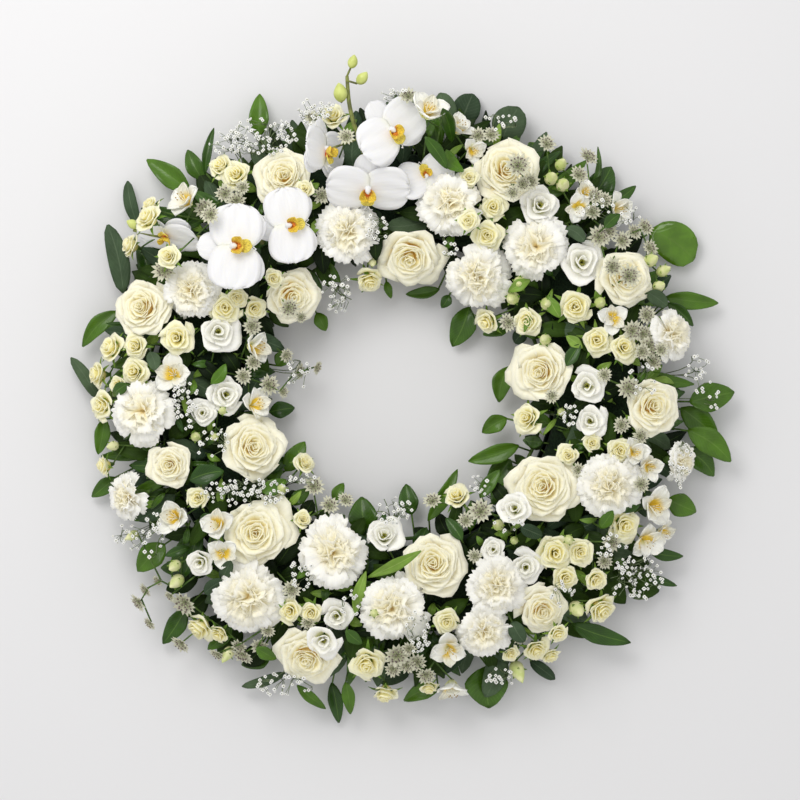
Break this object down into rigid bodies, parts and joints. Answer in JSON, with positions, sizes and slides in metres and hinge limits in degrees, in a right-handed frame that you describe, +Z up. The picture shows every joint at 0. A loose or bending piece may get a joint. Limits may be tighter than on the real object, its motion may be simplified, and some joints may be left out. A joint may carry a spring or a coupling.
{
  "type": "funeral wreath",
  "caption": "Round funeral wreath of white and cream flowers with green leaves, standing in a ring of floral foam in a plastic tray, lying flat round an open middle.",
  "frame": {"origin": "middle of the whole wreath in plan, on the surface that its tray lies on", "axes": "+Z up from that surface, towards what the flowers face; +X and +Y in the surface, to the right and to the top of the picture"},
  "size_m": [0.7046, 0.704, 0.1426],
  "materials": {
    "tray": "dark green moulded plastic",
    "foam": "wet floral foam, matt",
    "rose_petals": "soft cream petals",
    "carnation_petals": "soft white fringed petals",
    "orchid_petals": "waxy white petals",
    "lisianthus_petals": "soft white petals",
    "alstroemeria_petals": "soft white and cream petals",
    "spray_rose_petals": "soft ivory petals",
    "leaves": "glossy green leaves"
  },
  "bodies": {
    "root": {"base_tray": "tray", "foam_ring": "foam", "rose_01": "rose_petals", "rose_02": "rose_petals", "rose_03": "rose_petals", "rose_04": "rose_petals", "rose_05": "rose_petals", "rose_06": "rose_petals", "rose_07": "rose_petals", "rose_08": "rose_petals", "rose_09": "rose_petals", "rose_10": "rose_petals", "rose_11": "rose_petals", "rose_12": "rose_petals", "rose_13": "rose_petals", "rose_14": "rose_petals", "rose_15": "rose_petals", "carnation_01": "carnation_petals", "carnation_02": "carnation_petals", "carnation_03": "carnation_petals", "carnation_04": "carnation_petals", "carnation_05": "carnation_petals", "carnation_06": "carnation_petals", "carnation_07": "carnation_petals", "carnation_08": "carnation_petals", "carnation_09": "carnation_petals", "carnation_10": "carnation_petals", "carnation_11": "carnation_petals", "carnation_12": "carnation_petals", "carnation_13": "carnation_petals", "carnation_14": "carnation_petals", "orchid_left": "orchid_petals", "orchid_top": "orchid_petals", "lisianthus_1": "lisianthus_petals", "lisianthus_2": "lisianthus_petals", "lisianthus_3": "lisianthus_petals", "alstroemeria_1": "alstroemeria_petals", "alstroemeria_2": "alstroemeria_petals", "alstroemeria_3": "alstroemeria_petals", "alstroemeria_4": "alstroemeria_petals", "alstroemeria_5": "alstroemeria_petals", "alstroemeria_6": "alstroemeria_petals", "spray_roses_1": "spray_rose_petals", "spray_roses_2": "spray_rose_petals", "spray_roses_3": "spray_rose_petals", "spray_roses_4": "spray_rose_petals", "spray_roses_5": "spray_rose_petals", "spray_roses_6": "spray_rose_petals", "spray_roses_7": "spray_rose_petals", "spray_roses_8": "spray_rose_petals", "spray_roses_9": "spray_rose_petals", "spray_roses_10": "spray_rose_petals", "outer_leaves_1": "leaves", "outer_leaves_2": "leaves", "outer_leaves_3": "leaves", "outer_leaves_4": "leaves", "inner_leaves_1": "leaves", "inner_leaves_2": "leaves", "inner_leaves_3": "leaves", "inner_leaves_4": "leaves"}
  },
  "joints": []
}
